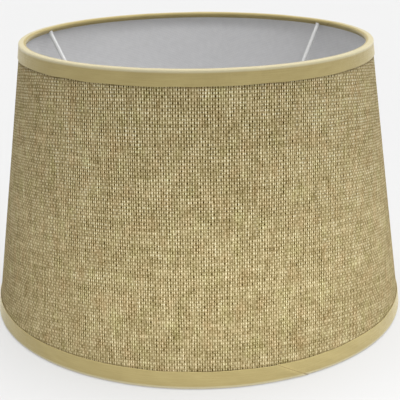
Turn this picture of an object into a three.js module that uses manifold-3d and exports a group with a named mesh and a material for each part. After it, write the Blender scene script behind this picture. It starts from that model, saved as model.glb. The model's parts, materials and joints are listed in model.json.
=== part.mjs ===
// Tapered lamp shade on a dropped spider fitter. Millimetres, +Z up, origin at the centre of the
// base, front towards -Y. The wall is a woven cover on a white plastic liner, bent round into a
// cone and lapped at the back. A wire ring stiffens each rim, and folded tape binds each edge.

import * as THREE from 'three';
import { mergeVertices } from 'three/addons/utils/BufferGeometryUtils.js';
import Module from 'manifold-3d';

const wasm = await Module();
wasm.setup();

// Overall sizes, over the rim tape.
const HEIGHT = 194;
const BASE_RADIUS = 150;
const TOP_RADIUS = 122.7;

// Sheets and wires, and the gaps kept between neighbours and at welds.
const TAPE_THICKNESS = 0.5;
const COVER_THICKNESS = 0.55;
const LINER_THICKNESS = 0.35;
const GLUE_THICKNESS = 0.15;
const WIRE_RADIUS = 1.4;
const ARM_RADIUS = 1.6;
const GAP = 0.15;
const WELD_GAP = 0.3;

// Rim tape: height of the outer leg, half width of the flat that a rim stands on, how far the
// wire lies towards the edge, and the openings cut in the inner leg where the arms come through.
const TOP_TAPE_WIDTH = 10;
const BOTTOM_TAPE_WIDTH = 11.5;
const FLAT_HALF_WIDTH = 0.9;
const WIRE_RISE = 0.5;
const NOTCH_WIDTH = 6.5;
const NOTCH_HEIGHT = 5;
const NOTCH_DEPTH = 6;
const NOTCH_TOP = -0.2;

// Spider fitter: bent wires from the top ring to a flat ring that takes a lampholder.
const FITTER_DROP = 50;
const FITTER_OUTER_RADIUS = 28;
const FITTER_HOLE_RADIUS = 21;
const FITTER_THICKNESS = 2;
const ARM_SLOPE = THREE.MathUtils.degToRad(62);
const ARM_BEND = 9;
const ARMS = [
  { name: 'arm_back_right', azimuth: 37 },
  { name: 'arm_back_left', azimuth: 157 },
  { name: 'arm_front', azimuth: 277 },
];

// Facets round the shade, round a wire, along an arm, round the fitter and in a tape's corner.
const TURN_FACETS = 72;
const WIRE_FACETS = 10;
const ARM_STEPS = 30;
const FITTER_FACETS = 60;
const CORNER_FACETS = 2;

// The lap at the back, counted in facets round the shade: the outer end rises over the ramp and
// ends at the seam.
const SEAM_FACET = TURN_FACETS / 4;
const LAP_FACETS = 1;
const RAMP_FACETS = 1;

// Worked out from the sizes above.
const LAMINATE = COVER_THICKNESS + GAP + LINER_THICKNESS;
const LAP_STEP = LAMINATE + 2 * GAP + GLUE_THICKNESS;
const RIM_WIDTH = 2 * TAPE_THICKNESS + 3 * GAP + LAMINATE + 2 * WIRE_RADIUS;
const RIM_ROUND = RIM_WIDTH / 2;
const CAVITY = RIM_ROUND - TAPE_THICKNESS;
const WALL_TAPER = (BASE_RADIUS - TOP_RADIUS) / (HEIGHT - RIM_WIDTH);
const WIRE_OFFSET = CAVITY - GAP - WIRE_RADIUS;
const WALL_HEIGHT = HEIGHT - RIM_WIDTH;
const COVER_INSET = TAPE_THICKNESS + GAP;
const LINER_INSET = COVER_INSET + COVER_THICKNESS + GAP;

// Materials.
const wovenCloth = new THREE.MeshStandardMaterial({ color: 0xa99a70, roughness: 0.95, metalness: 0 });
const trimTape = new THREE.MeshStandardMaterial({ color: 0xc9ba8c, roughness: 0.9, metalness: 0 });
const whitePlastic = new THREE.MeshStandardMaterial({ color: 0xe4e4e2, roughness: 0.6, metalness: 0 });
const whiteEnamel = new THREE.MeshStandardMaterial({ color: 0xf2f2f0, roughness: 0.35, metalness: 0.1 });
const clearGlue = new THREE.MeshStandardMaterial({ color: 0xd8d2bc, roughness: 0.5, metalness: 0 });

function mesh(name, geometry, material) {
  const part = new THREE.Mesh(geometry, material.clone());
  part.name = name;
  return part;
}

const point = (x, y) => new THREE.Vector2(x, y);
const facetAngle = (facet) => (facet / TURN_FACETS) * 2 * Math.PI;

// Points of an arc about a centre, in equal steps from one angle to another, in degrees.
function arc(centreX, centreY, radius, fromDegrees, toDegrees) {
  const points = [];
  for (let i = 0; i <= CORNER_FACETS; i += 1) {
    const share = i / CORNER_FACETS;
    const angle = THREE.MathUtils.degToRad(fromDegrees + (toDegrees - fromDegrees) * share);
    points.push(point(centreX + radius * Math.cos(angle), centreY + radius * Math.sin(angle)));
  }
  return points;
}

// Manifold solids, for the boolean cuts.
function toSolid(geometry) {
  const bare = geometry.clone();
  bare.deleteAttribute('normal');
  bare.deleteAttribute('uv');
  const merged = mergeVertices(bare);
  const vertProperties = new Float32Array(merged.attributes.position.array);
  const triVerts = new Uint32Array(merged.index.array);
  return new wasm.Manifold(new wasm.Mesh({ numProp: 3, vertProperties, triVerts }));
}

function toGeometry(solid) {
  const result = solid.getMesh();
  const geometry = new THREE.BufferGeometry();
  geometry.setAttribute('position', new THREE.BufferAttribute(result.vertProperties, 3));
  geometry.setIndex(new THREE.BufferAttribute(result.triVerts, 1));
  geometry.computeVertexNormals();
  return geometry;
}

// How far the outer end of the wall stands off at a facet corner: 0 away from the lap, 1 on it.
function lapRise(facet) {
  const lapStart = SEAM_FACET - LAP_FACETS;
  return THREE.MathUtils.clamp((facet - lapStart + RAMP_FACETS) / RAMP_FACETS, 0, 1);
}

// One layer of the wall. Its plan outline starts at the lap, goes once round and rises over its
// own start. It is extruded to the wall's height, then drawn in towards the top.
function wallLayer(inset, thickness) {
  const outer = BASE_RADIUS - inset;
  const outside = [];
  const inside = [];
  for (let facet = SEAM_FACET - LAP_FACETS; facet <= SEAM_FACET + TURN_FACETS; facet += 1) {
    const stand = facet > TURN_FACETS ? LAP_STEP * lapRise(facet - TURN_FACETS) : 0;
    const direction = point(Math.cos(facetAngle(facet)), Math.sin(facetAngle(facet)));
    outside.push(direction.clone().multiplyScalar(outer + stand));
    inside.unshift(direction.clone().multiplyScalar(outer - thickness + stand));
  }
  return taperedExtrusion(new THREE.Shape([...outside, ...inside]));
}

// A strip of glue in the lap, between the inner end's cover and the outer end's liner.
function glueStrip() {
  const inner = BASE_RADIUS - COVER_INSET + GAP;
  const outline = [];
  for (const facet of [SEAM_FACET - LAP_FACETS, SEAM_FACET]) {
    outline.push(point(inner * Math.cos(facetAngle(facet)), inner * Math.sin(facetAngle(facet))));
  }
  const outer = inner + GLUE_THICKNESS;
  for (const facet of [SEAM_FACET, SEAM_FACET - LAP_FACETS]) {
    outline.push(point(outer * Math.cos(facetAngle(facet)), outer * Math.sin(facetAngle(facet))));
  }
  return taperedExtrusion(new THREE.Shape(outline));
}

function taperedExtrusion(shape) {
  const geometry = new THREE.ExtrudeGeometry(shape, { depth: WALL_HEIGHT, bevelEnabled: false });
  const position = geometry.attributes.position;
  for (let i = 0; i < position.count; i += 1) {
    const radius = Math.hypot(position.getX(i), position.getY(i));
    const drawn = 1 - (WALL_TAPER * position.getZ(i)) / radius;
    position.setX(i, position.getX(i) * drawn);
    position.setY(i, position.getY(i) * drawn);
    position.setZ(i, position.getZ(i) + RIM_ROUND);
  }
  geometry.computeVertexNormals();
  return geometry;
}

// Section of the tape over a rim, with the rim's edge towards +Y. X runs outwards from the
// middle of the rim. The outer leg leans with the wall, and the inner leg goes round under the
// wire and ends against the liner.
function tapeSection(lean, width) {
  const leg = width - RIM_ROUND;
  const flat = FLAT_HALF_WIDTH;
  const legX = lean * leg;
  const outerCorner = RIM_ROUND - flat;
  const innerCorner = CAVITY - flat;
  const wireX = -WIRE_OFFSET;
  const hug = WIRE_RADIUS + GAP;
  const linerFace = CAVITY - GAP - LAMINATE;
  const tuck = linerFace - GAP + Math.min(lean, 0) * hug;
  return [
    point(RIM_ROUND + legX, -leg),
    point(RIM_ROUND, 0),
    ...arc(flat, flat, outerCorner, 0, 90),
    ...arc(-flat, flat, outerCorner, 90, 180),
    ...arc(wireX, WIRE_RISE, hug + TAPE_THICKNESS, 180, 270),
    point(tuck, WIRE_RISE - hug - TAPE_THICKNESS),
    point(tuck, WIRE_RISE - hug),
    ...arc(wireX, WIRE_RISE, hug, 270, 180),
    ...arc(-flat, flat, innerCorner, 180, 90),
    ...arc(flat, flat, innerCorner, 90, 0),
    point(CAVITY, 0),
    point(CAVITY + legX, -leg),
  ];
}

// The tape of one rim, turned from its section. Over the lap its outer half stands off.
function rimTape(middleRadius, middleHeight, edgeSign, width) {
  const section = tapeSection(edgeSign * WALL_TAPER, width);
  const profile = section.map((p) => point(middleRadius + p.x, middleHeight + edgeSign * p.y));
  if (edgeSign < 0) {
    profile.reverse();
  }
  profile.push(profile[0].clone());
  const geometry = new THREE.LatheGeometry(profile, TURN_FACETS);
  geometry.rotateX(Math.PI / 2);
  const position = geometry.attributes.position;
  for (let i = 0; i < position.count; i += 1) {
    const x = position.getX(i);
    const y = position.getY(i);
    const radius = Math.hypot(x, y);
    const facet = Math.round((Math.atan2(y, x) / (2 * Math.PI)) * TURN_FACETS);
    const onLap = facet <= SEAM_FACET ? lapRise(facet) : 0;
    const fromMiddle = radius - middleRadius + WALL_TAPER * (position.getZ(i) - middleHeight);
    const outside = fromMiddle > FLAT_HALF_WIDTH + GAP;
    const grown = outside ? 1 + (LAP_STEP * onLap) / radius : 1;
    position.setX(i, x * grown);
    position.setY(i, y * grown);
  }
  return geometry;
}

// A block that opens the inner leg of the top tape under the wire, where an arm comes through.
function notch(azimuth) {
  const block = new THREE.BoxGeometry(NOTCH_DEPTH, NOTCH_WIDTH, NOTCH_HEIGHT);
  const innerFace = TOP_RADIUS - RIM_WIDTH - GAP;
  const top = HEIGHT - RIM_ROUND + WIRE_RISE + NOTCH_TOP;
  block.translate(innerFace - GAP, 0, top - NOTCH_HEIGHT / 2);
  block.rotateZ(THREE.MathUtils.degToRad(azimuth));
  return block;
}

function topTape() {
  let solid = toSolid(rimTape(TOP_RADIUS - RIM_ROUND, HEIGHT - RIM_ROUND, 1, TOP_TAPE_WIDTH));
  for (const arm of ARMS) {
    solid = solid.subtract(toSolid(notch(arm.azimuth)));
  }
  return toGeometry(solid);
}

function rimWire(middleRadius) {
  return new THREE.TorusGeometry(middleRadius - WIRE_OFFSET, WIRE_RADIUS, WIRE_FACETS, TURN_FACETS);
}

// Centre line of an arm, in the plane of radius and height: down from the top ring, round a
// bend, and level to the edge of the fitter ring.
function armPath() {
  const ringRadius = TOP_RADIUS - RIM_ROUND - WIRE_OFFSET;
  const ringHeight = HEIGHT - RIM_ROUND + WIRE_RISE;
  const down = new THREE.Vector3(-Math.cos(ARM_SLOPE), 0, -Math.sin(ARM_SLOPE));
  const ring = new THREE.Vector3(ringRadius, 0, ringHeight);
  const start = ring.clone().addScaledVector(down, WIRE_RADIUS + WELD_GAP);
  const level = HEIGHT - FITTER_DROP;
  const corner = ring.clone().addScaledVector(down, (ringHeight - level) / Math.sin(ARM_SLOPE));
  const bendStart = corner.clone().addScaledVector(down, -ARM_BEND);
  const bendEnd = corner.clone().add(new THREE.Vector3(-ARM_BEND, 0, 0));
  const end = new THREE.Vector3(FITTER_OUTER_RADIUS + WELD_GAP, 0, level);
  const path = new THREE.CurvePath();
  path.add(new THREE.LineCurve3(start, bendStart));
  path.add(new THREE.QuadraticBezierCurve3(bendStart, corner, bendEnd));
  path.add(new THREE.LineCurve3(bendEnd, end));
  return path;
}

function circle(radius, facets) {
  const points = [];
  for (let i = 0; i < facets; i += 1) {
    const angle = (i / facets) * 2 * Math.PI;
    points.push(point(radius * Math.cos(angle), radius * Math.sin(angle)));
  }
  return points;
}

function armWire() {
  const section = new THREE.Shape(circle(ARM_RADIUS, WIRE_FACETS));
  return new THREE.ExtrudeGeometry(section, { steps: ARM_STEPS, extrudePath: armPath() });
}

function fitterRing() {
  const outline = new THREE.Shape(circle(FITTER_OUTER_RADIUS, FITTER_FACETS));
  outline.holes.push(new THREE.Path(circle(FITTER_HOLE_RADIUS, FITTER_FACETS)));
  return new THREE.ExtrudeGeometry(outline, { depth: FITTER_THICKNESS, bevelEnabled: false });
}

const shade = new THREE.Group();

shade.add(mesh('fabric_cover', wallLayer(COVER_INSET, COVER_THICKNESS), wovenCloth));
shade.add(mesh('liner', wallLayer(LINER_INSET, LINER_THICKNESS), whitePlastic));
shade.add(mesh('seam_glue_strip', glueStrip(), clearGlue));

const topRing = mesh('top_ring', rimWire(TOP_RADIUS - RIM_ROUND), whiteEnamel);
topRing.position.z = HEIGHT - RIM_ROUND + WIRE_RISE;
shade.add(topRing);

const bottomRing = mesh('bottom_ring', rimWire(BASE_RADIUS - RIM_ROUND), whiteEnamel);
bottomRing.position.z = RIM_ROUND - WIRE_RISE;
shade.add(bottomRing);

shade.add(mesh('top_tape', topTape(), trimTape));
const bottomTape = rimTape(BASE_RADIUS - RIM_ROUND, RIM_ROUND, -1, BOTTOM_TAPE_WIDTH);
shade.add(mesh('bottom_tape', bottomTape, trimTape));

const fitter = mesh('fitter_ring', fitterRing(), whiteEnamel);
fitter.position.z = HEIGHT - FITTER_DROP - FITTER_THICKNESS / 2;
shade.add(fitter);

for (const arm of ARMS) {
  const wire = mesh(arm.name, armWire(), whiteEnamel);
  wire.rotation.z = THREE.MathUtils.degToRad(arm.azimuth);
  shade.add(wire);
}

export default shade;
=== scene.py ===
"""Looks for the tapered lamp shade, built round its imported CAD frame. Metres, +Z up, front -Y."""

import json
import math

import bmesh
import bpy
from mathutils import Matrix, Vector, noise

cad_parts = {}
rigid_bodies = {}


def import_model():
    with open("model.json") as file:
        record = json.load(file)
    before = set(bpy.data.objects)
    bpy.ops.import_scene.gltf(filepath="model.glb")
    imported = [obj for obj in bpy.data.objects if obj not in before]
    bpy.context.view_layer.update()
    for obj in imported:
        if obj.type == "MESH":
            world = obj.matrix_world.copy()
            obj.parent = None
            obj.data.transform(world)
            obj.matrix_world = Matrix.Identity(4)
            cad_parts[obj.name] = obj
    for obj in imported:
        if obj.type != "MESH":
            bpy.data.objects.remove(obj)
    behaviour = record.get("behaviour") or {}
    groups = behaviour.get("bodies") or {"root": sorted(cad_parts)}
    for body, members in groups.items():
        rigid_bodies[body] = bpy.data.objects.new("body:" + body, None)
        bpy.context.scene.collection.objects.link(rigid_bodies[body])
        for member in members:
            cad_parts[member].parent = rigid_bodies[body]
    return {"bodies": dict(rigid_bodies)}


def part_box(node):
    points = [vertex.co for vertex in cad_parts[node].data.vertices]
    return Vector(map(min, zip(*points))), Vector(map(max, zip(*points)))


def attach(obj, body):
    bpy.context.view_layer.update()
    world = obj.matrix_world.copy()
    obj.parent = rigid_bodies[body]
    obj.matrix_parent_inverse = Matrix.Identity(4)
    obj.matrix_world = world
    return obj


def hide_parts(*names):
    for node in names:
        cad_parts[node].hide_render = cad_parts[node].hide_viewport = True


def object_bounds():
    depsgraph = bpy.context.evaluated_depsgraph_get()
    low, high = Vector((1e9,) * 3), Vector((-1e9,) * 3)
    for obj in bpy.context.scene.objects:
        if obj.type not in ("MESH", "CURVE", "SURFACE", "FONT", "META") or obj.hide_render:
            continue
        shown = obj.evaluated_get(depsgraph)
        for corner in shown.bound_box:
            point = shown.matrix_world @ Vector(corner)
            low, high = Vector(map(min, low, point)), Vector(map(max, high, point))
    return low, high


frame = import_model()
CAD_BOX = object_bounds()

# ---------------------------------------------------------------- sizes, from the frame

MM = 0.001
TAPE = 0.5 * MM
COVER = 0.55 * MM
LINER = 0.35 * MM
GLUE = 0.15 * MM
WIRE = 1.4 * MM
GAP = 0.15 * MM
ARM_WIRE = 1.6 * MM
WIRE_RISE = 0.5 * MM
OUTER_FLAT = 1.3 * MM
INNER_FLAT = 0.8 * MM

LAMINATE = COVER + GAP + LINER
RIM_WIDTH = 2 * TAPE + 3 * GAP + LAMINATE + 2 * WIRE
RIM_ROUND = RIM_WIDTH / 2
CAVITY = RIM_ROUND - TAPE
WIRE_OFFSET = CAVITY - GAP - WIRE

HEIGHT = CAD_BOX[1].z
BASE_RADIUS = CAD_BOX[1].x
TOP_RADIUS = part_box("top_ring")[1].x + RIM_ROUND + WIRE_OFFSET - WIRE
TOP_TAPE_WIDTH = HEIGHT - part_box("top_tape")[0].z
BOTTOM_TAPE_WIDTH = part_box("bottom_tape")[1].z
TAPER = (BASE_RADIUS - TOP_RADIUS) / (HEIGHT - RIM_WIDTH)
FITTER_LOW, FITTER_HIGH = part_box("fitter_ring")
FITTER_LEVEL = (FITTER_LOW.z + FITTER_HIGH.z) / 2
FITTER_RADIUS = FITTER_HIGH.x
FITTER_HOLE_RADIUS = 21 * MM

FRONT = -math.pi / 2
SEAM = math.pi / 2
TURN = 2 * math.pi
LAP = 12 * MM
LAP_RAMP = 6 * MM
LAP_STEP = LAMINATE + 2 * GAP + GLUE
LINER_FLAP = 10 * MM

ARM_AZIMUTHS = {
    "arm_back_right": math.radians(37),
    "arm_back_left": math.radians(157),
    "arm_front": math.radians(277),
}
ARM_SLOPE = math.radians(62)
ARM_BEND = 9 * MM

BODY = next(iter(frame["bodies"]))
TOP_JOINT = math.radians(24)
BOTTOM_JOINT = math.radians(-66.8)
JOINT_SLANT = math.radians(0.73) / MM

# The camera: where it stands, how it is turned in radians, and its lens in millimetres.
CAMERA_PLACE = (0, -0.6565, 0.2993)
CAMERA_PITCH = -0.3333
CAMERA_YAW = 0.0024
CAMERA_ROLL = -0.0113
CAMERA_LENS = 84.08
CAMERA_SENSOR = 36

# Strengths of the studio's lights, and how far a panel's light fans out.
WORLD = 0.3
OVERHEAD = 3.3
KEY = 0.8
FACING = 0.86
SIDE = 0.7
LOW_FRONT = 0.305
LOW_SIDE = 0.09
FLOOR_GLOW = 0.368
PANEL_SPREAD = math.radians(110)

# Half the floor's width, and how far it lies under the shade.
FLOOR_HALF = 15
FLOOR_DROP = 0.2 * MM

# How finely the pieces are drawn.
WALL_COLUMNS = 320
WALL_ROWS = 14
LAP_COLUMNS = 16
GLUE_COLUMNS = 5
CORNER_STEPS = 8
WRAP_STEPS = 8
TAIL_STEPS = 3
COARSE_STEP = math.radians(0.5)
FINE_STEP = math.radians(0.12)
SLIVER = math.radians(0.05)
RING_COLUMNS = 180
WIRE_SIDES = 20
ARM_DOWN_STEPS = 24
ARM_BEND_STEPS = 12
ARM_LEVEL_STEPS = 20
EASE_STEPS = 4

# Steps up the tape's outer leg as shares of its height, closer together at its cut edge.
LEG_STEPS = (0, 0.02, 0.06, 0.15, 0.3, 0.45, 0.6, 0.75, 0.9)

# The inner leg of a tape: how far it goes round under the wire and its tail past that, where it
# is tight, how much less where it is loose, and the usual of each. It is cut short where an arm
# comes through.
TIGHT_WRAP = math.radians(94)
WRAP_SLACK = math.radians(20)
USUAL_WRAP = math.radians(85)
TIGHT_TAIL = 1.15 * MM
TAIL_SLACK = 0.5 * MM
USUAL_TAIL = 1 * MM
NOTCH_HALF = 2.0 * MM
NOTCH_EDGE = 2.7 * MM
NOTCH_REST = 0.1

# Unevenness: of the wall, of a tape's cut edge, of its puckers and creases, and the share by
# which its section grows and shrinks.
WALL_SWAY = 0.05 * MM
EDGE_SWAY = 0.25 * MM
PUCKER = 0.10 * MM
CREASE = 0.04 * MM
RIM_SWELL = 0.02

# How far a tape's outer end rises over its start, and how long it takes to.
JOINT_RISE = 0.45 * MM
JOINT_RAMP = 14 * MM

# Welds at an arm's ends: how far it thickens, over what length, and how far it enters the ring.
WELD_SWELL = 0.3
WELD_LENGTH = 1.2 * MM
WELD_DEPTH = 0.5 * MM

# An arm's rings stand closer together towards its welds, by this power.
WELD_CROWDING = 1.4

# The unrolled wall: distance from the cone's apex to the base, and how azimuth shrinks there.
WALL_LEAN = math.atan(TAPER)
SPREAD = math.sin(WALL_LEAN)
BASE_SLANT = BASE_RADIUS / SPREAD


def wall_radius(height):
    """Radius over the tape at a height."""
    return BASE_RADIUS - TAPER * (height - RIM_ROUND)


def smooth(low, high, value):
    share = min(max((value - low) / (high - low), 0.0), 1.0)
    return share * share * (3 - 2 * share)


def turn_from(azimuth, centre):
    """Signed angle from a centre to an azimuth, within half a turn."""
    return (azimuth - centre + math.pi) % TURN - math.pi


def wander(azimuth, scale, seed):
    """Gentle noise round the shade that closes on itself, from about -1 to 1."""
    where = Vector((math.cos(azimuth) * scale, math.sin(azimuth) * scale, seed))
    return noise.noise(where) * 2


def polar(radius, azimuth, height):
    return (radius * math.cos(azimuth), radius * math.sin(azimuth), height)


# ---------------------------------------------------------------- camera and light


def look(pitch, yaw, roll):
    """Rotation of a camera that looks along +Y, raised by pitch, turned by yaw, then rolled."""
    ahead = Vector(
        (math.sin(yaw) * math.cos(pitch), math.cos(yaw) * math.cos(pitch), math.sin(pitch))
    )
    right = Vector((math.cos(yaw), -math.sin(yaw), 0))
    up = right.cross(ahead)
    rolled_right = right * math.cos(roll) + up * math.sin(roll)
    rolled_up = up * math.cos(roll) - right * math.sin(roll)
    return Matrix((rolled_right, rolled_up, -ahead)).transposed().to_4x4()


def make_camera():
    data = bpy.data.cameras.new("camera")
    data.sensor_width = CAMERA_SENSOR
    data.lens = CAMERA_LENS
    camera = bpy.data.objects.new("camera", data)
    turned = look(CAMERA_PITCH, CAMERA_YAW, CAMERA_ROLL)
    camera.matrix_world = Matrix.Translation(CAMERA_PLACE) @ turned
    bpy.context.collection.objects.link(camera)
    bpy.context.scene.camera = camera


def add_light(name, kind, strength, towards):
    """A lamp that shines from the direction towards, as (azimuth, elevation) in degrees."""
    data = bpy.data.lights.new(name, kind)
    data.energy = strength
    lamp = bpy.data.objects.new(name, data)
    turn, rise = map(math.radians, towards)
    source = Vector(polar(math.cos(rise), turn, math.sin(rise)))
    lamp.rotation_mode = "QUATERNION"
    lamp.rotation_quaternion = source.to_track_quat("Z", "Y")
    bpy.context.collection.objects.link(lamp)
    return lamp


def add_sun(name, strength, towards, spread):
    """A sun that looks spread degrees wide, which softens its shadows."""
    lamp = add_light(name, "SUN", strength, towards)
    lamp.data.angle = math.radians(spread)


def add_panel(name, strength, towards, centre, width, height):
    """A soft panel that the camera doesn't see."""
    lamp = add_light(name, "AREA", strength, towards)
    lamp.location = centre
    lamp.data.shape = "RECTANGLE"
    lamp.data.size = width
    lamp.data.size_y = height
    lamp.data.spread = PANEL_SPREAD
    lamp.visible_camera = False


def make_studio():
    """Soft light from above and the sides, and low panels for what a white surround returns."""
    world = bpy.data.worlds.new("studio")
    world.use_nodes = True
    background = world.node_tree.nodes["Background"]
    background.inputs["Color"].default_value = (1, 1, 1, 1)
    background.inputs["Strength"].default_value = WORLD
    bpy.context.scene.world = world
    add_sun("overhead", OVERHEAD, (90, 83), 40)
    add_sun("key", KEY, (-40, 58), 60)
    add_sun("facing", FACING, (-90, 62), 12)
    add_sun("side", SIDE, (30, 40), 50)
    add_panel("low_front", LOW_FRONT, (-84, -4), (0.04, -0.31, 0.05), 0.8, 0.03)
    add_panel("low_side", LOW_SIDE, (-15, -8), (0.36, -0.08, 0.035), 0.6, 0.05)
    bpy.context.scene.view_settings.view_transform = "Standard"


def make_floor():
    """A white sheet of paper just under the shade, which glows a little, as if lit from afar."""
    signs = ((-1, -1), (1, -1), (1, 1), (-1, 1))
    corners = [(x * FLOOR_HALF, y * FLOOR_HALF, -FLOOR_DROP) for x, y in signs]
    data = bpy.data.meshes.new("floor")
    data.from_pydata(corners, [], [(0, 1, 2, 3)])
    floor = bpy.data.objects.new("floor", data)
    bpy.context.collection.objects.link(floor)
    paper = Material("floor_paper", roughness=0.9)
    tone = paper.noise(paper.object_space(), 3.0, 2)
    paper.base(paper.mix(tone, (0.26, 0.26, 0.26), (0.27, 0.27, 0.27)))
    paper.glow((1, 1, 1), FLOOR_GLOW)
    data.materials.append(paper.material)


# ---------------------------------------------------------------- material graphs


class Material:
    """A small helper that writes a node material as expressions."""

    def __init__(self, name, roughness=0.8, specular=0.3):
        self.material = bpy.data.materials.new(name)
        self.material.use_nodes = True
        self.tree = self.material.node_tree
        self.shader = self.tree.nodes["Principled BSDF"]
        self.shader.inputs["Roughness"].default_value = roughness
        self.shader.inputs["Specular IOR Level"].default_value = specular

    def feed(self, socket, value):
        """Links a socket into another, or sets its value."""
        if isinstance(value, bpy.types.NodeSocket):
            self.tree.links.new(value, socket)
        elif isinstance(value, (tuple, list)) and len(value) == 3 and len(socket.default_value) == 4:
            socket.default_value = (*value, 1)
        else:
            socket.default_value = value

    def math(self, operation, *values):
        node = self.tree.nodes.new("ShaderNodeMath")
        node.operation = operation
        for socket, value in zip(node.inputs, values):
            self.feed(socket, value)
        return node.outputs[0]

    def add(self, a, b):
        return self.math("ADD", a, b)

    def less(self, a, b):
        return self.math("SUBTRACT", a, b)

    def times(self, a, b):
        return self.math("MULTIPLY", a, b)

    def cosine(self, half_turns):
        """Cosine of a number of half turns."""
        return self.math("COSINE", self.times(half_turns, math.pi))

    def ramp(self, value, low, high, to_low=0.0, to_high=1.0):
        """Smooth step of a value between two levels, onto another range."""
        node = self.tree.nodes.new("ShaderNodeMapRange")
        node.interpolation_type = "SMOOTHSTEP"
        for socket, number in zip(node.inputs, (value, low, high, to_low, to_high)):
            self.feed(socket, number)
        return node.outputs[0]

    def uv(self, name):
        """X and Y of a UV map."""
        node = self.tree.nodes.new("ShaderNodeUVMap")
        node.uv_map = name
        split = self.tree.nodes.new("ShaderNodeSeparateXYZ")
        self.tree.links.new(node.outputs[0], split.inputs[0])
        return split.outputs[0], split.outputs[1]

    def object_space(self):
        return self.tree.nodes.new("ShaderNodeTexCoord").outputs["Object"]

    def height(self):
        split = self.tree.nodes.new("ShaderNodeSeparateXYZ")
        self.tree.links.new(self.object_space(), split.inputs[0])
        return split.outputs[2]

    def vector(self, x, y, z=0.0):
        node = self.tree.nodes.new("ShaderNodeCombineXYZ")
        for socket, value in zip(node.inputs, (x, y, z)):
            self.feed(socket, value)
        return node.outputs[0]

    def noise(self, where, scale=1.0, detail=2, roughness=0.5):
        node = self.tree.nodes.new("ShaderNodeTexNoise")
        self.feed(node.inputs["Vector"], where)
        node.inputs["Scale"].default_value = scale
        node.inputs["Detail"].default_value = detail
        node.inputs["Roughness"].default_value = roughness
        return node.outputs["Fac"]

    def streaks(self, x, x_scale, y, y_scale, seed, detail, roughness=0.5):
        """Noise round zero that is stretched by different scales in X and Y."""
        where = self.vector(self.times(x, x_scale), self.times(y, y_scale), seed)
        return self.less(self.noise(where, 1.0, detail, roughness), 0.5)

    def chance(self, where):
        """A different number from 0 to 1 in each whole step of X and Y."""
        node = self.tree.nodes.new("ShaderNodeTexWhiteNoise")
        node.noise_dimensions = "2D"
        self.feed(node.inputs["Vector"], where)
        return node.outputs["Value"]

    def mix(self, share, first, second, blend="MIX"):
        """Mix of two colours. A colour mix has its colours at inputs 6 and 7, and output 2."""
        node = self.tree.nodes.new("ShaderNodeMix")
        node.data_type = "RGBA"
        node.blend_type = blend
        self.feed(node.inputs["Factor"], share)
        self.feed(node.inputs[6], first)
        self.feed(node.inputs[7], second)
        return node.outputs[2]

    def tones(self, value, colours):
        """Colour along an evenly spaced run of linear colours, from 0 to 1."""
        node = self.tree.nodes.new("ShaderNodeValToRGB")
        stops = node.color_ramp.elements
        while len(stops) < len(colours):
            stops.new(1.0)
        for i, colour in enumerate(colours):
            stops[i].position = i / (len(colours) - 1)
            stops[i].color = (*colour, 1)
        self.feed(node.inputs[0], value)
        return node.outputs[0]

    def base(self, colour):
        self.feed(self.shader.inputs["Base Color"], colour)

    def roughness(self, value):
        self.feed(self.shader.inputs["Roughness"], value)

    def glow(self, colour, strength):
        self.shader.inputs["Emission Color"].default_value = (*colour, 1)
        self.shader.inputs["Emission Strength"].default_value = strength

    def sheen(self, weight, roughness, tint):
        self.shader.inputs["Sheen Weight"].default_value = weight
        self.shader.inputs["Sheen Roughness"].default_value = roughness
        self.shader.inputs["Sheen Tint"].default_value = (*tint, 1)

    def bump(self, height, distance, strength=1.0):
        node = self.tree.nodes.new("ShaderNodeBump")
        node.inputs["Strength"].default_value = strength
        node.inputs["Distance"].default_value = distance
        self.feed(node.inputs["Height"], height)
        self.tree.links.new(node.outputs[0], self.shader.inputs["Normal"])


# ---------------------------------------------------------------- materials

# The UV map that holds each piece's places in its flat cut, in metres.
FLAT = "flat"
WARP_PITCH = 1.567 * MM
WEFT_PITCH = 1.91 * MM

# Depths of the weave's parts, as changes of tone that paint the shading of its relief: 1 is the
# whole span from dark to light.
RIB_DEPTH = 0.18
DIP_DEPTH = 0.13
DIP_SHARPNESS = 0.45
ROW_DEPTH = 0.035
CELL_DEPTH = 0.10
YARN_VARIATION = 0.27
FIBRE_VARIATION = 0.35
CROSSING_VARIATION = 0.12
PATCH_VARIATION = 0.08

# How far the yarns wander from their places, and the cloth's middle tone on that span.
YARN_WANDER = 1.1
CLOTH_LEVEL = 0.515

# The cloth's beige: the light it is seen under, the display levels of its darkest and lightest
# tones, and how far red, green and blue lie from each level.
CLOTH_LIGHT = 1.375
DARKEST = 20
LIGHTEST = 260
CLOTH_TONES = 9
CLOTH_SHIFTS = (24, 8, -35)

# The painted shade along each tape's edge on the cloth: its reach, and its strength.
TAPE_SHADE = 1.4 * MM
TAPE_SHADE_STRENGTH = 0.4

# The tape's own weave, where the painted highlight along its fold begins and ends across its
# width, and half the width of the dark line along its joint.
BIAS_PITCH = 0.55 * MM
FOLD_HIGHLIGHT_START = 0.3 * MM
FOLD_HIGHLIGHT_END = 4.8 * MM
FOLD_HIGHLIGHT_FADE = 1.1 * MM
JOINT_LINE = 0.45 * MM

# How far down from the top the liner carries a painted shadow of the rim.
RIM_SHADOW_WIDTH = 15 * MM


def linen_tones():
    """Linear colours of one beige, from dark to light, as seen under the cloth's light."""
    colours = []
    for i in range(CLOTH_TONES):
        level = DARKEST + (LIGHTEST - DARKEST) * i / (CLOTH_TONES - 1)
        shown = [min(max(level + shift, 2), 250) / 255 for shift in CLOTH_SHIFTS]
        colours.append([((value + 0.055) / 1.055) ** 2.4 / CLOTH_LIGHT for value in shown])
    return colours


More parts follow.
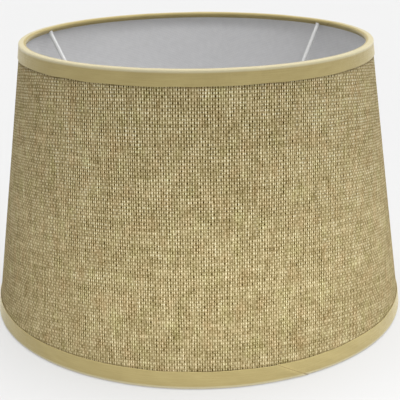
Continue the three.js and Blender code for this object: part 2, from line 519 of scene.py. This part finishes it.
class Yarns:
    """Where a point of the cloth lies: at x, y in the flat cut, and at u, v counted in yarns,
    which wander a little. It is in warp yarn number column, and weft yarn number row."""

    def __init__(self, cloth):
        self.x, self.y = cloth.uv(FLAT)
        warp_count = cloth.math("DIVIDE", self.x, WARP_PITCH)
        weft_count = cloth.math("DIVIDE", self.y, WEFT_PITCH)
        drift = cloth.streaks(warp_count, 0.35, weft_count, 0.06, 0.0, 2)
        sway = cloth.streaks(warp_count, 0.06, weft_count, 0.35, 7.0, 2)
        self.u = cloth.add(warp_count, cloth.times(drift, YARN_WANDER))
        self.v = cloth.add(weft_count, cloth.times(sway, YARN_WANDER))
        self.column = cloth.math("FLOOR", self.u)
        self.row = cloth.math("FLOOR", self.v)


def weave_depth(cloth, yarns):
    """How deep the weave's relief and its painted shading are: they change from groove to groove,
    and grow towards the top, as if the light fell more steeply there.
    """
    nearest_groove = cloth.math("FLOOR", cloth.add(yarns.u, 0.5))
    groove = cloth.streaks(nearest_groove, 7.3, yarns.v, 0.16, 2.0, 3)
    relief_and_shading_to_top = cloth.ramp(cloth.height(), 0, HEIGHT, 0.8, 1.15)
    return cloth.times(cloth.ramp(groove, -0.2, 0.2, 0.55, 1.45), relief_and_shading_to_top)


def weave_relief(cloth, yarns):
    """Warp yarns stand up as ribs, which are broken a little between rows. In the grooves between
    them, each weft yarn dips to one side. As tone, this is painted shading: light crowns, dark
    grooves, and each dip shaded on one side as if lit from the side."""
    across = cloth.less(cloth.less(yarns.u, yarns.column), 0.5)
    along = cloth.less(cloth.less(yarns.v, yarns.row), 0.5)
    over = cloth.cosine(cloth.add(yarns.column, yarns.row))
    ribs = cloth.cosine(cloth.times(across, 2))
    rows = cloth.cosine(cloth.times(along, 2))
    side = cloth.cosine(cloth.less(across, 0.5))
    steep = cloth.times(cloth.cosine(cloth.times(along, 3)), DIP_SHARPNESS)
    dips = cloth.times(cloth.times(over, side), cloth.add(cloth.cosine(along), steep))
    relief = cloth.less(cloth.times(ribs, RIB_DEPTH), cloth.times(dips, DIP_DEPTH))
    cells = cloth.times(rows, cloth.add(cloth.times(ribs, CELL_DEPTH), ROW_DEPTH))
    return cloth.times(cloth.add(relief, cells), weave_depth(cloth, yarns))


def fibre_tone(cloth, yarns):
    """Fine streaks that run along each set of yarns."""
    warp_fibre = cloth.streaks(yarns.u, 4, yarns.v, 0.8, 0.0, 3, 0.6)
    weft_fibre = cloth.streaks(yarns.u, 0.8, yarns.v, 4, 5.0, 3, 0.6)
    return cloth.add(warp_fibre, weft_fibre)


def uneven_yarns(cloth, yarns):
    """Each yarn has its own tone, which changes along it. Crossings and patches differ too."""
    warp_tone = cloth.streaks(yarns.column, 13.7, yarns.v, 0.09, 0.0, 3)
    weft_tone = cloth.streaks(yarns.u, 0.07, yarns.row, 17.3, 3.0, 3)
    crossing = cloth.less(cloth.chance(cloth.vector(yarns.column, yarns.row)), 0.5)
    patch = cloth.streaks(yarns.x, 16.0, yarns.y, 16.0, 0.0, 3)
    tone = cloth.times(cloth.add(warp_tone, weft_tone), YARN_VARIATION)
    tone = cloth.add(tone, cloth.times(crossing, CROSSING_VARIATION))
    return cloth.add(tone, cloth.times(patch, PATCH_VARIATION))


def linen_colour(cloth, yarns, level):
    """Beige of a tone, with some patches tanner and some more olive."""
    beige = cloth.tones(cloth.add(level, CLOTH_LEVEL), linen_tones())
    warmth = cloth.streaks(yarns.column, 0.16, yarns.v, 0.12, 9.0, 3)
    warm = cloth.mix(cloth.ramp(warmth, -0.02, 0.25), beige, (1.0, 0.93, 0.90), "MULTIPLY")
    return cloth.mix(cloth.ramp(warmth, 0.0, -0.25), warm, (0.96, 1.0, 0.90), "MULTIPLY")


def painted_tape_shade_mask(cloth):
    """1 on the cloth along the edge of either tape, where shade is painted, and 0 further off."""
    height = cloth.height()
    top_edge = HEIGHT - TOP_TAPE_WIDTH
    below = cloth.ramp(height, top_edge - TAPE_SHADE, top_edge)
    above = cloth.ramp(height, BOTTOM_TAPE_WIDTH, BOTTOM_TAPE_WIDTH + TAPE_SHADE, 1.0, 0.0)
    return cloth.math("MAXIMUM", below, above)


def woven_cloth():
    """Coarse plain weave, drawn in the flat cut's own coordinates, so that its grain runs as cut.
    Its tone holds painted shading of the weave's relief, and painted shade beside the tapes."""
    cloth = Material("woven_cloth", roughness=0.9, specular=0.08)
    yarns = Yarns(cloth)
    relief = weave_relief(cloth, yarns)
    fibres = fibre_tone(cloth, yarns)
    # The relief's tone is painted shading of the yarns' crowns and grooves.
    level = cloth.add(relief, uneven_yarns(cloth, yarns))
    level = cloth.add(level, cloth.times(fibres, FIBRE_VARIATION))
    colour = linen_colour(cloth, yarns, level)
    # Painted shade: the cloth is darkened in a thin line along each tape.
    shade = cloth.times(painted_tape_shade_mask(cloth), TAPE_SHADE_STRENGTH)
    cloth.base(cloth.mix(shade, colour, (0.42, 0.38, 0.32), "MULTIPLY"))
    cloth.roughness(cloth.ramp(relief, -0.3, 0.3, 0.98, 0.82))
    cloth.bump(cloth.add(relief, cloth.times(fibres, 0.1)), 0.5 * MM, 0.5)
    return cloth.material


def trim_tape():
    """Smooth bias tape. X runs along it from its joint, and Y across it from where it starts to
    turn over the rim. It has a painted highlight along the fold, and is darker along the joint."""
    tape = Material("trim_tape", roughness=0.85, specular=0.2)
    x, y = tape.uv(FLAT)
    slub = tape.streaks(x, 60, y, 1400, 0.0, 3, 0.6)
    cloud = tape.streaks(x, 45, y, 45, 0.0, 3)
    bias_one = tape.cosine(tape.times(tape.add(x, y), 2 / BIAS_PITCH))
    bias_two = tape.cosine(tape.times(tape.less(x, y), 2 / BIAS_PITCH))
    weave = tape.times(bias_one, bias_two)
    level = tape.add(tape.times(tape.add(slub, cloud), 0.5), tape.times(weave, 0.05))
    light = tape.ramp(level, -0.4, 0.4)
    cloth = tape.mix(light, (0.288, 0.230, 0.094), (0.388, 0.318, 0.141))
    # Painted highlight: the tape is paler across its fold, where the rim's top catches the light.
    fold = tape.times(
        tape.ramp(y, FOLD_HIGHLIGHT_START, FOLD_HIGHLIGHT_START + FOLD_HIGHLIGHT_FADE),
        tape.ramp(y, FOLD_HIGHLIGHT_END, FOLD_HIGHLIGHT_END + FOLD_HIGHLIGHT_FADE, 1.0, 0.0),
    )
    with_fold_highlight = tape.mix(tape.times(fold, 0.85), cloth, (0.47, 0.425, 0.285))
    reach = tape.add(tape.times(fold, 2 * JOINT_LINE), JOINT_LINE)
    joint = tape.ramp(tape.math("ABSOLUTE", x), JOINT_LINE / 4, reach, 0.75, 0.0)
    tape.base(tape.mix(joint, with_fold_highlight, (0.16, 0.11, 0.05)))
    tape.roughness(tape.ramp(slub, -0.2, 0.2, 0.92, 0.8))
    tape.sheen(0.35, 0.4, (1.0, 0.96, 0.85))
    tape.bump(tape.add(slub, tape.times(weave, 0.3)), 0.05 * MM, 0.7)
    return tape.material


def liner_plastic():
    """White plastic sheet that the cloth's weave prints through faintly, with a painted shadow greying
    it under the top rim.
    """
    sheet = Material("liner_plastic", roughness=0.55, specular=0.35)
    x, y = sheet.uv(FLAT)
    ribs = sheet.cosine(sheet.times(x, 2 / WARP_PITCH))
    rows = sheet.cosine(sheet.times(y, 2 / WEFT_PITCH))
    print_through = sheet.add(sheet.times(ribs, 0.4), sheet.times(rows, 0.6))
    mottle = sheet.streaks(x, 220, y, 220, 0.0, 3)
    cloud = sheet.streaks(x, 14, y, 14, 0.0, 2)
    level = sheet.add(sheet.times(mottle, 0.7), sheet.times(cloud, 0.6))
    light = sheet.ramp(sheet.add(level, sheet.times(print_through, 0.12)), -0.5, 0.5)
    plastic = sheet.mix(light, (0.72, 0.72, 0.73), (0.83, 0.83, 0.84))
    # Painted shadow: the liner is greyed just under the top rim, where the rim shades it.
    rim_shadow = sheet.ramp(sheet.height(), HEIGHT - RIM_SHADOW_WIDTH, HEIGHT - RIM_SHADOW_WIDTH / 3, 0.0, 0.25)
    sheet.base(sheet.mix(rim_shadow, plastic, (0.45, 0.45, 0.46)))
    sheet.roughness(sheet.ramp(mottle, -0.2, 0.2, 0.5, 0.62))
    sheet.bump(sheet.add(print_through, mottle), 0.03 * MM, 0.5)
    return sheet.material


def white_enamel():
    """Powder coat on wire: fine orange peel, with a slightly greyer tone in patches."""
    coat = Material("white_enamel", roughness=0.35, specular=0.5)
    where = coat.object_space()
    peel = coat.noise(where, 1500.0, 2)
    cloud = coat.noise(where, 60.0, 3)
    coat.base(coat.mix(cloud, (0.60, 0.60, 0.60), (0.70, 0.70, 0.69)))
    coat.roughness(coat.ramp(peel, 0.3, 0.7, 0.3, 0.42))
    coat.bump(peel, 0.04 * MM, 0.5)
    return coat.material


def glue_film():
    """Clear adhesive strip, yellowish where it is thick."""
    film = Material("glue_film", roughness=0.4, specular=0.5)
    cloud = film.noise(film.object_space(), 300.0, 3)
    film.base(film.mix(cloud, (0.66, 0.62, 0.50), (0.78, 0.74, 0.62)))
    film.bump(cloud, 0.05 * MM, 0.6)
    return film.material


# ---------------------------------------------------------------- mesh builder


def loft(name, sections, place, closed, material):
    """A closed solid through like sections, each a ring of points. An open run gets end caps.
    place(i, j) gives the flat coordinates of point j of section i, counted on past the wrap."""
    count = len(sections)
    around = len(sections[0])
    corners = []
    for i in range(count if closed else count - 1):
        for j in range(around):
            corners.append([(i, j), (i + 1, j), (i + 1, j + 1), (i, j + 1)])
    for i in () if closed else (0, count - 1):
        for j in range(around // 2 - 1):
            corners.append([(i, j), (i, j + 1), (i, around - 2 - j), (i, around - 1 - j)])
    faces = [[(i % count) * around + j % around for i, j in corner] for corner in corners]
    points = [point for section in sections for point in section]
    data = bpy.data.meshes.new(name)
    data.from_pydata(points, [], faces)
    layer = data.uv_layers.new(name=FLAT)
    flat = [value for corner in corners for i, j in corner for value in place(i, j)]
    layer.data.foreach_set("uv", flat)
    data.polygons.foreach_set("use_smooth", [True] * len(data.polygons))
    shell = bmesh.new()
    shell.from_mesh(data)
    bmesh.ops.recalc_face_normals(shell, faces=shell.faces)
    shell.to_mesh(data)
    shell.free()
    data.set_sharp_from_angle(angle=math.radians(50))
    data.materials.append(material)
    piece = bpy.data.objects.new(name, data)
    bpy.context.collection.objects.link(piece)
    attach(piece, BODY)
    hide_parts(name)
    return piece


# ---------------------------------------------------------------- wall: cover, liner and glue


def flat_place(azimuth, height):
    """Where a point of the wall lies in the flat cut, with X across the front and Y up it."""
    slant = BASE_SLANT - height / math.cos(WALL_LEAN)
    turn = (azimuth - (FRONT + TURN)) * SPREAD
    return slant * math.sin(turn), BASE_SLANT - slant * math.cos(turn)


def wall_azimuths(radius, flap):
    """Column azimuths of the lapped sheet: from under the lap, once round, to the seam."""
    start = SEAM - (LAP + flap) / radius
    end = SEAM + TURN
    ramp_start = end - (LAP + LAP_RAMP) / radius
    azimuths = [start + (SEAM - start) * i / LAP_COLUMNS for i in range(LAP_COLUMNS)]
    azimuths += [SEAM + (ramp_start - SEAM) * i / WALL_COLUMNS for i in range(WALL_COLUMNS)]
    azimuths += [ramp_start + (end - ramp_start) * i / LAP_COLUMNS for i in range(LAP_COLUMNS + 1)]
    return azimuths


def wall_sheet(name, inset, thickness, flap, material):
    """One layer of the wall as a closed sheet whose outer end rises over its own start. A flap
    at the start reaches back over the rise on the inside, and lies on the sheet there."""
    low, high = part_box(name)[0].z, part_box(name)[1].z
    heights = [low + (high - low) * j / (WALL_ROWS - 1) for j in range(WALL_ROWS)]
    rows = heights + heights[::-1]
    by_row = [wall_azimuths(wall_radius(height), flap) for height in rows]
    sections = []
    for i in range(len(by_row[0])):
        section = []
        for j, height in enumerate(rows):
            azimuth = by_row[j][i]
            depth = inset if j < WALL_ROWS else inset + thickness
            past = (azimuth - SEAM - TURN) * wall_radius(height)
            rise = LAP_STEP * smooth(-LAP - LAP_RAMP, -LAP, past)
            before_lap = (SEAM - azimuth) * wall_radius(height) - LAP
            rise -= (thickness + GAP / 3) * smooth(0, LAP_RAMP, before_lap)
            sway = WALL_SWAY * wander(azimuth, 4.0, height * 15)
            section.append(polar(wall_radius(height) - depth + rise + sway, azimuth, height))
        sections.append(section)

    def place(i, j):
        row = j % len(rows)
        return flat_place(by_row[row][i], rows[row])

    return loft(name, sections, place, False, material)


def glue_strip(material):
    """The strip of glue inside the lap, under the outer end's liner."""
    name = "seam_glue_strip"
    low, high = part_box(name)[0].z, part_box(name)[1].z
    heights = [low + (high - low) * j / (WALL_ROWS - 1) for j in range(WALL_ROWS)]
    rows = heights + heights[::-1]
    margin = 1.5 * MM
    sections = []
    for i in range(GLUE_COLUMNS):
        back = margin + (LAP - 2 * margin) * i / (GLUE_COLUMNS - 1)
        section = []
        for j, height in enumerate(rows):
            radius = wall_radius(height)
            lift = GLUE if j < WALL_ROWS else 0
            section.append(polar(radius - TAPE + lift, SEAM - back / radius, height))
        sections.append(section)

    def place(i, j):
        return i * MM, j * MM

    return loft(name, sections, place, False, material)


# ---------------------------------------------------------------- rim tape


def lap_rise(azimuth, radius):
    """How far the tape stands off over the wall's lap."""
    past = turn_from(azimuth, SEAM) * radius
    return LAP_STEP * smooth(-LAP - LAP_RAMP, -LAP, past) * (1 - smooth(0.4 * MM, 4 * MM, past))


def tape_line(lean, leg, wrap, tail):
    """Middle line of the folded tape in the rim's section: up the outer leg, over the edge,
    round the wire and in under it. X runs outwards, and Y towards the rim's edge."""
    middle = RIM_ROUND - TAPE / 2
    line = [(middle + lean * leg * (1 - t), -leg * (1 - t)) for t in LEG_STEPS]
    for flat, first in ((OUTER_FLAT, 0), (-INNER_FLAT, math.pi / 2)):
        corner = middle - abs(flat)
        for i in range(CORNER_STEPS + 1):
            angle = first + math.pi / 2 * i / CORNER_STEPS
            line.append((flat + corner * math.cos(angle), abs(flat) + corner * math.sin(angle)))
    hug = WIRE + GAP + TAPE / 2
    for i in range(1, WRAP_STEPS + 1):
        angle = math.pi + wrap * i / WRAP_STEPS
        line.append((hug * math.cos(angle) - WIRE_OFFSET, hug * math.sin(angle) + WIRE_RISE))
    x, y = line[-1]
    heading = wrap - math.pi / 2
    for i in range(1, TAIL_STEPS + 1):
        reach = tail * i / TAIL_STEPS
        line.append((x + reach * math.cos(heading), y + reach * math.sin(heading)))
    return line


def thicken(line, thickness):
    """Closed outline round a middle line, thinner at its cut ends."""
    outside = []
    inside = []
    last = len(line) - 1
    for i, (x, y) in enumerate(line):
        before = line[max(i - 1, 0)]
        after = line[min(i + 1, last)]
        run = math.hypot(after[0] - before[0], after[1] - before[1])
        half = thickness * (0.25 if i in (0, last) else 0.5)
        across = (after[1] - before[1]) / run * half
        along = (before[0] - after[0]) / run * half
        outside.append((x + across, y + along))
        inside.append((x - across, y - along))
    return outside + inside[::-1]


def line_lengths(line):
    lengths = [0.0]
    for (x0, y0), (x1, y1) in zip(line, line[1:]):
        lengths.append(lengths[-1] + math.hypot(x1 - x0, y1 - y0))
    return lengths


def azimuths_round(details):
    """Azimuths once round, closer together within the detailed stretches (centre, reach)."""
    azimuths = []
    azimuth = -math.pi
    while azimuth < math.pi - SLIVER:
        azimuths.append(azimuth)
        near = any(abs(turn_from(azimuth, centre)) < reach for centre, reach in details)
        azimuth += FINE_STEP if near else COARSE_STEP
    return azimuths


def past_joint(azimuth, length, joint, radius):
    """Distance along the tape from its joint, which is cut on the slant across its width."""
    return (azimuth - joint - JOINT_SLANT * (length - BOTTOM_TAPE_WIDTH / 2)) * radius


def joint_step(past):
    """Rise of the tape's outer end over its start, which lies flat again further along."""
    rise = smooth(-JOINT_RAMP, -TAPE, past)
    return JOINT_RISE * rise * (1 - smooth(-0.1 * MM, 0.4 * MM, past))


def inner_fold(azimuth, openings):
    """How far the tape's inner leg goes round under the wire, and its tail, at an azimuth."""
    loose = 0.5 + 0.5 * wander(azimuth, 6.0, 3.3)
    wrap = TIGHT_WRAP - WRAP_SLACK * loose
    tail = TIGHT_TAIL - TAIL_SLACK * loose
    radius = TOP_RADIUS - RIM_WIDTH
    before_seam = -turn_from(azimuth, SEAM) * radius
    past_flap = before_seam - LAP - LINER_FLAP
    on_flap = smooth(0, 5 * MM, before_seam) * (1 - smooth(0, 5 * MM, past_flap))
    tail *= 1 - 0.5 * on_flap
    for centre in openings:
        away = abs(turn_from(azimuth, centre)) * radius
        kept = NOTCH_REST + (1 - NOTCH_REST) * smooth(NOTCH_HALF, NOTCH_EDGE, away)
        wrap *= kept
        tail *= kept
    return wrap, tail


def tape_section(azimuth, rim_radius, edge, width, openings, joint):
    """The binding's section at an azimuth, in place on the rim."""
    wrap, tail = inner_fold(azimuth, openings)
    seed = 10 + 5 * edge
    leg = width - RIM_ROUND + EDGE_SWAY * wander(azimuth, 5.0, seed)
    line = tape_line(edge * TAPER, leg, wrap, tail)
    lengths = line_lengths(line)
    lengths += lengths[::-1]
    swell = 1 + RIM_SWELL * wander(azimuth, 8.0, seed + 2)
    middle_height = HEIGHT - RIM_ROUND if edge > 0 else RIM_ROUND
    section = []
    for (x, y), length in zip(thicken(line, TAPE), lengths):
        stand = lap_rise(azimuth, rim_radius)
        stand += joint_step(past_joint(azimuth, length, joint, rim_radius))
        pucker = PUCKER * wander(azimuth, 30.0, length * 160 + seed)
        pucker += CREASE * wander(azimuth, 90.0, length * 300 + seed)
        outer = smooth(-0.5 * MM, 1.5 * MM, x)
        radius = rim_radius - RIM_ROUND + x + (stand + abs(pucker)) * outer
        section.append(polar(radius, azimuth, middle_height + edge * y * swell))
    return section


def rim_tape(name, rim_radius, edge, width, openings, joint, details, material):
    """The binding of one rim. edge is 1 at the top and -1 at the bottom."""
    azimuths = azimuths_round(details)
    sections = [
        tape_section(azimuth, rim_radius, edge, width, openings, joint) for azimuth in azimuths
    ]
    leg = width - RIM_ROUND
    lengths = line_lengths(tape_line(edge * TAPER, leg, USUAL_WRAP, USUAL_TAIL))
    both_faces = lengths + lengths[::-1]
    count = len(azimuths)

    def place(i, j):
        azimuth = azimuths[i % count] + (TURN if i >= count else 0)
        length = both_faces[j % len(both_faces)]
        return past_joint(azimuth, length, joint, rim_radius), length - leg

    piece = loft(name, sections, place, True, material)
    return piece


# ---------------------------------------------------------------- wires and fitter


def rim_wire(name, material):
    """A rim's wire ring, on the CAD ring's own circle."""
    low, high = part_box(name)
    level = (low.z + high.z) / 2
    radius = high.x - WIRE
    sections = []
    for i in range(RING_COLUMNS):
        azimuth = TURN * i / RING_COLUMNS
        section = []
        for j in range(WIRE_SIDES):
            angle = TURN * j / WIRE_SIDES
            out, up = WIRE * math.cos(angle), WIRE * math.sin(angle)
            section.append(polar(radius + out, azimuth, level + up))
        sections.append(section)

    def place(i, j):
        return i * MM, j * MM

    return loft(name, sections, place, True, material)


def arm_line():
    """Centre line of an arm as (radius, height): down from the top ring, a bend, then level."""
    low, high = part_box("top_ring")
    ring = Vector((high.x - WIRE, (low.z + high.z) / 2))
    down = Vector((-math.cos(ARM_SLOPE), -math.sin(ARM_SLOPE)))
    corner = ring + down * (ring.y - FITTER_LEVEL) / math.sin(ARM_SLOPE)
    start = ring + down * WIRE
    bend_start = corner - down * ARM_BEND
    bend_end = corner - Vector((ARM_BEND, 0))
    end = Vector((FITTER_RADIUS - WELD_DEPTH, FITTER_LEVEL))
    line = []
    for i in range(ARM_DOWN_STEPS):
        line.append(start.lerp(bend_start, (i / ARM_DOWN_STEPS) ** WELD_CROWDING))
    for i in range(ARM_BEND_STEPS):
        t = i / ARM_BEND_STEPS
        line.append(bend_start * (1 - t) ** 2 + corner * 2 * t * (1 - t) + bend_end * t * t)
    for i in range(ARM_LEVEL_STEPS + 1):
        line.append(bend_end.lerp(end, 1 - (1 - i / ARM_LEVEL_STEPS) ** WELD_CROWDING))
    return line


def fitter_arm(name, azimuth, material):
    """A bent wire with a small weld bead at each end."""
    line = arm_line()
    lengths = line_lengths([tuple(point) for point in line])
    outward = Vector((math.cos(azimuth), math.sin(azimuth), 0))
    sideways = Vector((-math.sin(azimuth), math.cos(azimuth), 0))
    sections = []
    for i, centre in enumerate(line):
        ahead = (line[min(i + 1, len(line) - 1)] - line[max(i - 1, 0)]).normalized()
        across = outward * -ahead.y + Vector((0, 0, ahead.x))
        to_end = min(lengths[i], lengths[-1] - lengths[i])
        thick = ARM_WIRE * (1 + WELD_SWELL * math.exp(-((to_end / WELD_LENGTH) ** 2)))
        middle = outward * centre.x + Vector((0, 0, centre.y))
        section = []
        for j in range(WIRE_SIDES):
            angle = TURN * j / WIRE_SIDES
            spoke = across * math.cos(angle) + sideways * math.sin(angle)
            section.append(tuple(middle + spoke * thick))
        sections.append(section)

    def place(i, j):
        return lengths[i], j * MM

    return loft(name, sections, place, False, material)


def fitter_ring(material):
    """The flat ring that takes a lampholder, with eased edges."""
    half = (FITTER_HIGH.z - FITTER_LOW.z) / 2
    ease = 0.35 * MM
    outline = []
    for x, y, first in (
        (FITTER_RADIUS - ease, half - ease, 0),
        (FITTER_HOLE_RADIUS + ease, half - ease, 1),
        (FITTER_HOLE_RADIUS + ease, ease - half, 2),
        (FITTER_RADIUS - ease, ease - half, 3),
    ):
        for i in range(EASE_STEPS + 1):
            angle = math.pi / 2 * (first + i / EASE_STEPS)
            outline.append((x + ease * math.cos(angle), y + ease * math.sin(angle)))
    sections = []
    for i in range(RING_COLUMNS):
        azimuth = TURN * i / RING_COLUMNS
        sections.append([polar(x, azimuth, FITTER_LEVEL + y) for x, y in outline])

    def place(i, j):
        return i * MM, j * MM

    return loft("fitter_ring", sections, place, True, material)


# ---------------------------------------------------------------- the shade


def build_shade():
    cloth = woven_cloth()
    tape = trim_tape()
    enamel = white_enamel()
    cover_inset = TAPE + GAP
    liner_inset = cover_inset + COVER + GAP
    wall_sheet("fabric_cover", cover_inset, COVER, 0, cloth)
    wall_sheet("liner", liner_inset, LINER, LINER_FLAP, liner_plastic())
    glue_strip(glue_film())
    rim_wire("top_ring", enamel)
    rim_wire("bottom_ring", enamel)
    openings = list(ARM_AZIMUTHS.values())
    notches = [(azimuth, math.radians(2.5)) for azimuth in openings]
    top_details = notches + [(TOP_JOINT, math.radians(8))]
    bottom_details = [(BOTTOM_JOINT, math.radians(8))]
    rim_tape("top_tape", TOP_RADIUS, 1, TOP_TAPE_WIDTH, openings, TOP_JOINT, top_details, tape)
    rim_tape("bottom_tape", BASE_RADIUS, -1, BOTTOM_TAPE_WIDTH, [], BOTTOM_JOINT, bottom_details, tape)
    for name, azimuth in ARM_AZIMUTHS.items():
        fitter_arm(name, azimuth, enamel)
    fitter_ring(enamel)


build_shade()
make_floor()
make_studio()
make_camera()
